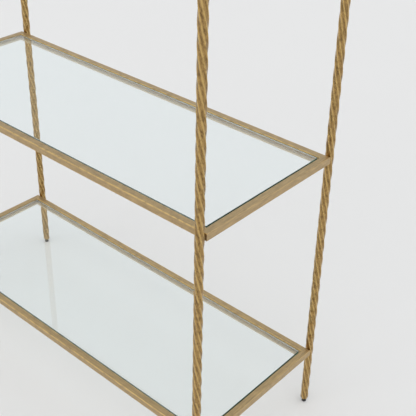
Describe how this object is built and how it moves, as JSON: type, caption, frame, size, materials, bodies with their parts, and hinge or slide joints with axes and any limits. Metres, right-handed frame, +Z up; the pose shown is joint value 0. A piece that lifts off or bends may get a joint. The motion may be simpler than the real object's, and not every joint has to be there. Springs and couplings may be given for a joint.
{
  "type": "etagere",
  "caption": "Tall open etagere: twisted six-sided metal posts outside slim square-tube shelf frames, lift-out clear panes on inner ledges, small levelling glides under the posts.",
  "frame": {"origin": "on the floor, at the middle of the overall length and depth", "axes": "+Z up along the posts, +X along the length, +Y to the back"},
  "size_m": [1, 0.413, 1.736],
  "materials": {
    "antique_gold": "satin",
    "glass": "polished",
    "clear_pad": "clear",
    "black_glide": "satin",
    "steel": "plated"
  },
  "bodies": {
    "frame": {"post_front_left": "antique_gold", "post_front_right": "antique_gold", "post_back_left": "antique_gold", "post_back_right": "antique_gold", "shelf_1_front_rail": "antique_gold", "shelf_1_front_ledge": "antique_gold", "shelf_1_back_rail": "antique_gold", "shelf_1_back_ledge": "antique_gold", "shelf_1_left_rail": "antique_gold", "shelf_1_left_ledge": "antique_gold", "shelf_1_right_rail": "antique_gold", "shelf_1_right_ledge": "antique_gold", "shelf_1_pads": "clear_pad", "shelf_2_front_rail": "antique_gold", "shelf_2_front_ledge": "antique_gold", "shelf_2_back_rail": "antique_gold", "shelf_2_back_ledge": "antique_gold", "shelf_2_left_rail": "antique_gold", "shelf_2_left_ledge": "antique_gold", "shelf_2_right_rail": "antique_gold", "shelf_2_right_ledge": "antique_gold", "shelf_2_pads": "clear_pad", "shelf_3_front_rail": "antique_gold", "shelf_3_front_ledge": "antique_gold", "shelf_3_back_rail": "antique_gold", "shelf_3_back_ledge": "antique_gold", "shelf_3_left_rail": "antique_gold", "shelf_3_left_ledge": "antique_gold", "shelf_3_right_rail": "antique_gold", "shelf_3_right_ledge": "antique_gold", "shelf_3_pads": "clear_pad", "shelf_4_front_rail": "antique_gold", "shelf_4_front_ledge": "antique_gold", "shelf_4_back_rail": "antique_gold", "shelf_4_back_ledge": "antique_gold", "shelf_4_left_rail": "antique_gold", "shelf_4_left_ledge": "antique_gold", "shelf_4_right_rail": "antique_gold", "shelf_4_right_ledge": "antique_gold", "shelf_4_pads": "clear_pad"},
    "pane_1": {"shelf_1_glass": "glass"},
    "pane_2": {"shelf_2_glass": "glass"},
    "pane_3": {"shelf_3_glass": "glass"},
    "pane_4": {"shelf_4_glass": "glass"},
    "foot_front_left": {"glide_front_left": "black_glide", "stud_front_left": "steel"},
    "foot_front_right": {"glide_front_right": "black_glide", "stud_front_right": "steel"},
    "foot_back_left": {"glide_back_left": "black_glide", "stud_back_left": "steel"},
    "foot_back_right": {"glide_back_right": "black_glide", "stud_back_right": "steel"}
  },
  "joints": [
    {"name": "pane_1_lift", "type": "slide", "parent": "frame", "child": "pane_1", "axis": [0, 0, 1], "range_m": [0, 0.15]},
    {"name": "pane_2_lift", "type": "slide", "parent": "frame", "child": "pane_2", "axis": [0, 0, 1], "range_m": [0, 0.15]},
    {"name": "pane_3_lift", "type": "slide", "parent": "frame", "child": "pane_3", "axis": [0, 0, 1], "range_m": [0, 0.15]},
    {"name": "pane_4_lift", "type": "slide", "parent": "frame", "child": "pane_4", "axis": [0, 0, 1], "range_m": [0, 0.15]},
    {"name": "foot_front_left_screw", "type": "slide", "parent": "frame", "child": "foot_front_left", "axis": [0, 0, 1], "range_m": [-0.01, 0]},
    {"name": "foot_front_right_screw", "type": "slide", "parent": "frame", "child": "foot_front_right", "axis": [0, 0, 1], "range_m": [-0.01, 0]},
    {"name": "foot_back_left_screw", "type": "slide", "parent": "frame", "child": "foot_back_left", "axis": [0, 0, 1], "range_m": [-0.01, 0]},
    {"name": "foot_back_right_screw", "type": "slide", "parent": "frame", "child": "foot_back_right", "axis": [0, 0, 1], "range_m": [-0.01, 0]}
  ]
}
